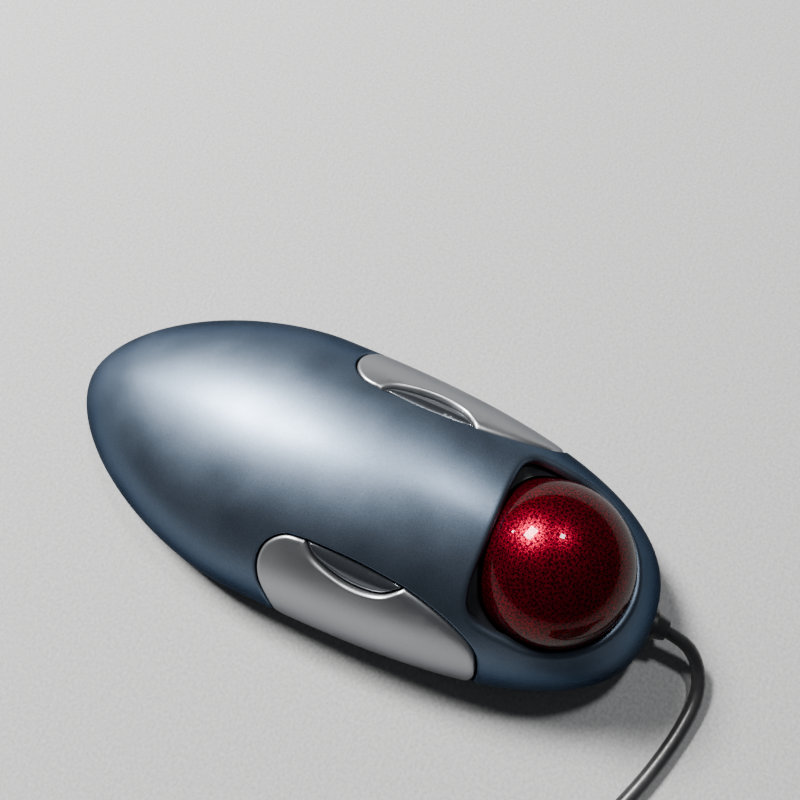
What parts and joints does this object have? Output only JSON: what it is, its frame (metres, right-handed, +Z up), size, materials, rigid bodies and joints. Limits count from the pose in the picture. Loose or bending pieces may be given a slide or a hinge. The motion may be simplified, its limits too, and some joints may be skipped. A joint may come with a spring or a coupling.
{
  "type": "trackball mouse",
  "caption": "Low egg-shaped wired finger trackball with a red ball at the front, a large key on each flank and a small crescent key in the upper edge of each.",
  "frame": {"origin": "on the table, under the middle of the body without its cable", "axes": "+Z up, +Y from the palm towards the ball and the cable, +X to the right"},
  "size_m": [0.1311, 0.2319, 0.0463],
  "materials": {
    "cover_paint": "satin metallic blue-grey paint on moulded ABS",
    "key_silver": "satin silver paint on moulded ABS",
    "small_key_gunmetal": "glossy gun-metal paint",
    "base_black": "fine-grained black ABS",
    "foot_rubber": "matt",
    "screw_steel": "zinc plated",
    "pin_steel": "ground steel",
    "board_green": "solder mask on glass-epoxy",
    "chip_black": "moulded epoxy",
    "can_metal": "drawn can",
    "connector_white": "moulded nylon",
    "socket_black": "polished black ABS",
    "bead_ceramic": "polished ceramic",
    "lens_clear": "moulded clear acrylic",
    "led_clear": "clear epoxy",
    "ball_red": "pearl red resin",
    "ball_dots": "red resin printed with black dots",
    "ball_coat": "thick polished clear layer over the dots",
    "switch_black": "moulded",
    "plunger_red": "moulded",
    "cable_black": "soft PVC jacket",
    "tie_black": "hook-and-loop strap",
    "plug_steel": "nickel plated",
    "plug_insert": "moulded",
    "contact_gold": "gold plated"
  },
  "bodies": {
    "case": {"top_cover": "cover_paint", "base_shell": "base_black", "rubber_feet": "foot_rubber", "case_screws": "screw_steel", "hinge_pins": "pin_steel", "main_board": "board_green", "board_screws": "screw_steel", "controller_chip": "chip_black", "capacitor": "can_metal", "crystal": "can_metal", "cable_connector": "connector_white", "ball_socket": "socket_black", "support_beads": "bead_ceramic", "sensor_lens": "lens_clear", "sensor_leds": "led_clear", "sensor_chip": "chip_black", "sensor_board": "board_green", "inner_cable": "cable_black", "strain_relief": "cable_black", "cable": "cable_black", "cable_coil": "cable_black", "coil_tie": "tie_black", "cable_tail": "cable_black", "plug_overmould": "cable_black", "plug_shell": "plug_steel", "plug_insert": "plug_insert", "plug_contacts": "contact_gold", "right_switch": "switch_black", "right_small_switch": "switch_black", "left_switch": "switch_black", "left_small_switch": "switch_black"},
    "ball_spin_body": {"ball_core": "ball_red"},
    "ball_roll_body": {"ball_dot_layer": "ball_dots"},
    "ball_outer_body": {"ball_clear_coat": "ball_coat"},
    "right_key_body": {"right_key": "key_silver"},
    "right_small_key_body": {"right_small_key": "small_key_gunmetal"},
    "right_plunger_body": {"right_switch_plunger": "plunger_red"},
    "right_small_plunger_body": {"right_small_switch_plunger": "plunger_red"},
    "left_key_body": {"left_key": "key_silver"},
    "left_small_key_body": {"left_small_key": "small_key_gunmetal"},
    "left_plunger_body": {"left_switch_plunger": "plunger_red"},
    "left_small_plunger_body": {"left_small_switch_plunger": "plunger_red"}
  },
  "joints": [
    {"name": "right_key_press", "type": "hinge", "parent": "case", "child": "right_key_body", "pos_m": [0.0286, -0.0072, 0.0185], "axis": [-1, 0, 0], "range_deg": [0, 1.1], "stiffness_Nm_per_rad": 1.4, "springref_deg": -0.46},
    {"name": "right_small_key_press", "type": "slide", "parent": "case", "child": "right_small_key_body", "axis": [0, 0, -1], "range_m": [0, 0.0006], "stiffness_N_per_m": 700, "springref_m": -0.0003},
    {"name": "right_switch_press", "type": "slide", "parent": "case", "child": "right_plunger_body", "axis": [0, 0, -1], "range_m": [0, 0.0008]},
    {"name": "right_small_switch_press", "type": "slide", "parent": "case", "child": "right_small_plunger_body", "axis": [0, 0, -1], "range_m": [0, 0.0006]},
    {"name": "left_key_press", "type": "hinge", "parent": "case", "child": "left_key_body", "pos_m": [-0.0286, -0.0072, 0.0185], "axis": [-1, 0, 0], "range_deg": [0, 1.1], "stiffness_Nm_per_rad": 1.4, "springref_deg": -0.46},
    {"name": "left_small_key_press", "type": "slide", "parent": "case", "child": "left_small_key_body", "axis": [0, 0, -1], "range_m": [0, 0.0006], "stiffness_N_per_m": 700, "springref_m": -0.0003},
    {"name": "left_switch_press", "type": "slide", "parent": "case", "child": "left_plunger_body", "axis": [0, 0, -1], "range_m": [0, 0.0008]},
    {"name": "left_small_switch_press", "type": "slide", "parent": "case", "child": "left_small_plunger_body", "axis": [0, 0, -1], "range_m": [0, 0.0006]},
    {"name": "ball_spin", "type": "hinge", "parent": "case", "child": "ball_spin_body", "pos_m": [0, 0.0522, 0.0263], "axis": [0, 0, 1], "continuous": true},
    {"name": "ball_roll_forward", "type": "hinge", "parent": "ball_spin_body", "child": "ball_roll_body", "pos_m": [0, 0.0522, 0.0263], "axis": [1, 0, 0], "continuous": true},
    {"name": "ball_roll_sideways", "type": "hinge", "parent": "ball_roll_body", "child": "ball_outer_body", "pos_m": [0, 0.0522, 0.0263], "axis": [0, 1, 0], "continuous": true}
  ],
  "couplings": [
    {"joint": "right_switch_press", "follows": "right_key_press", "m_per_rad": 0.0385},
    {"joint": "right_small_switch_press", "follows": "right_small_key_press", "ratio": 1},
    {"joint": "left_switch_press", "follows": "left_key_press", "m_per_rad": 0.0385},
    {"joint": "left_small_switch_press", "follows": "left_small_key_press", "ratio": 1}
  ]
}
